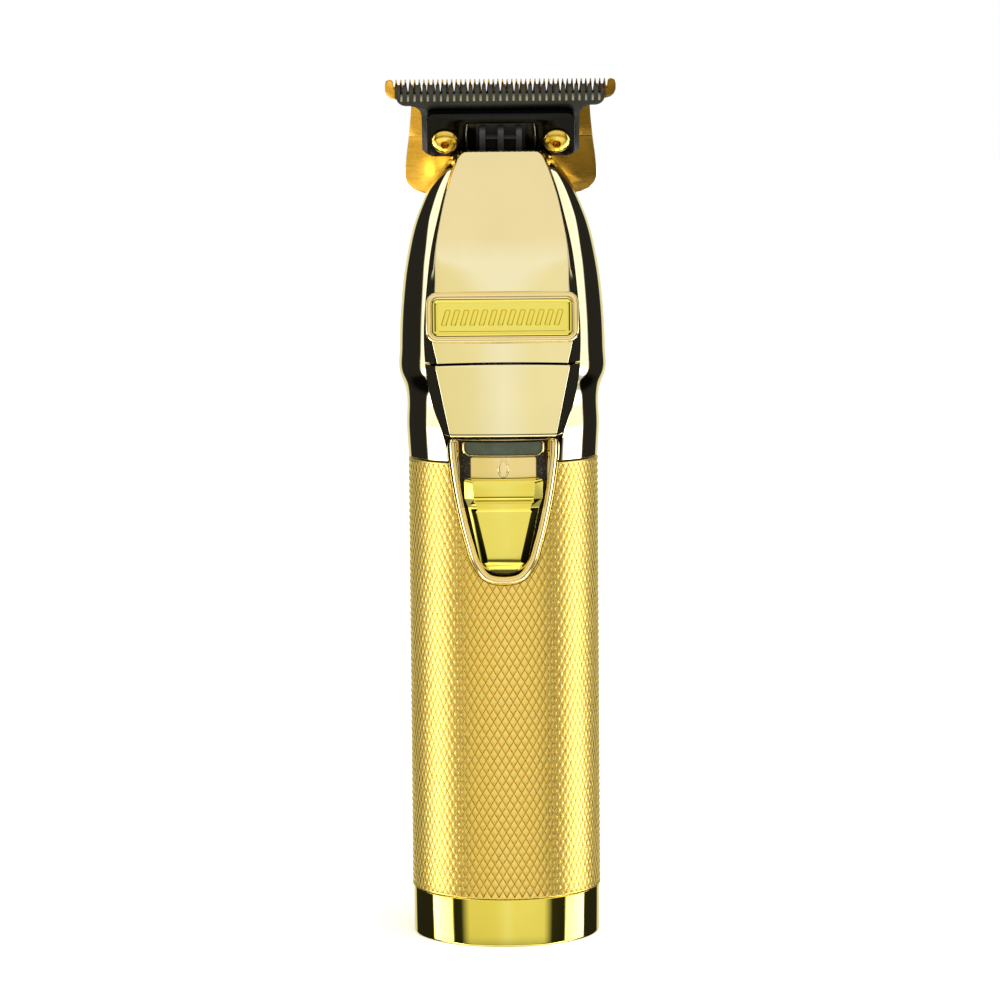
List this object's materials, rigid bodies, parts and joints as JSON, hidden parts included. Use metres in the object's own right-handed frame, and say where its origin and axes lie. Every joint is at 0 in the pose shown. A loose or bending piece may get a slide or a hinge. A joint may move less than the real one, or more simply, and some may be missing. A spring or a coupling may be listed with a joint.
{
  "type": "hair trimmer",
  "caption": "Cordless T-blade hair trimmer with a knurled metal grip, polished round head, V-shaped slide switch, and a reciprocating cutter driven by an eccentric motor pin.",
  "frame": {"origin": "centre of the end cap's flat underside, on the body's axis", "axes": "+Z along the body towards the cutting edge; -Y is the front with the slide switch; +X to the right seen from the front, along the cutting edge"},
  "size_m": [0.043, 0.0395, 0.161],
  "materials": {
    "polished_gold": "mirror-polished pale gold plate",
    "yellow_gold": "polished yellow gold plate",
    "knurled_gold": "knurled, gold anodised",
    "rim_gold": "polished rose gold plate",
    "blade_gold": "brushed, titanium nitride coated",
    "screw_gold": "polished, titanium nitride coated",
    "blade_black": "satin black carbon coated",
    "black_metal": "semi-gloss black",
    "black_plastic": "moulded",
    "smoked_window": "gloss, smoked",
    "steel": "bright",
    "bronze": "sintered bronze",
    "copper": "enamelled copper winding on iron",
    "magnet": "sintered magnet",
    "circuit_board": "solder mask",
    "battery_wrap": "shrink-wrapped cell",
    "grey_plastic": "glass-filled nylon",
    "rubber": "matte",
    "red_wire": "insulated wire",
    "clear_led": "clear lens"
  },
  "bodies": {
    "housing": {"end_cap": "yellow_gold", "cap_o_ring": "rubber", "grip_sleeve": "knurled_gold", "charge_socket": "black_plastic", "charge_pin": "steel", "charge_board": "circuit_board", "chassis_front": "grey_plastic", "chassis_rear": "grey_plastic", "chassis_screw_1": "steel", "chassis_screw_2": "steel", "chassis_screw_3": "steel", "chassis_screw_4": "steel", "battery_cell": "battery_wrap", "battery_contact_bottom": "steel", "battery_contact_top": "steel", "main_board": "circuit_board", "switch_body": "black_plastic", "indicator_led": "clear_led", "motor_lead_red": "red_wire", "motor_lead_black": "rubber", "charge_lead": "red_wire", "switch_fascia": "rim_gold", "indicator_window": "smoked_window", "off_mark_panel": "rim_gold", "motor_can": "steel", "motor_end_bell": "grey_plastic", "stator": "copper", "rear_bearing": "steel", "front_bearing": "steel", "motor_plate": "steel", "motor_screw_left": "steel", "motor_screw_right": "steel", "front_cover": "polished_gold", "rear_cover": "polished_gold", "lower_panel": "polished_gold", "badge_frame": "rim_gold", "badge_plate": "yellow_gold", "fixed_blade": "blade_gold", "tension_plate": "black_metal", "tension_spring_left": "steel", "tension_spring_right": "steel", "blade_screw_left": "screw_gold", "blade_screw_right": "screw_gold", "mount_screw_left": "screw_gold", "mount_screw_right": "screw_gold", "blade_mount": "grey_plastic"},
    "cutter": {"moving_blade": "blade_black", "blade_yoke": "black_plastic"},
    "switch": {"switch_slider": "yellow_gold", "slider_carrier": "black_plastic"},
    "rotor": {"rotor_magnet": "magnet", "motor_shaft": "steel", "eccentric_cam": "steel", "drive_pin": "steel"},
    "roller": {"pin_roller": "bronze"}
  },
  "joints": [
    {"name": "cutter_slide", "type": "slide", "parent": "housing", "child": "cutter", "axis": [1, 0, 0], "range_m": [-0.0009, 0.0009]},
    {"name": "switch_slide", "type": "slide", "parent": "housing", "child": "switch", "axis": [0, 0, 1], "range_m": [0, 0.0035]},
    {"name": "motor_spin", "type": "hinge", "parent": "housing", "child": "rotor", "pos_m": [0, 0, 0.11], "axis": [0, 0, 1], "continuous": true},
    {"name": "roller_spin", "type": "hinge", "parent": "rotor", "child": "roller", "pos_m": [0, 0.0009, 0.142], "axis": [0, 0, 1], "continuous": true}
  ]
}
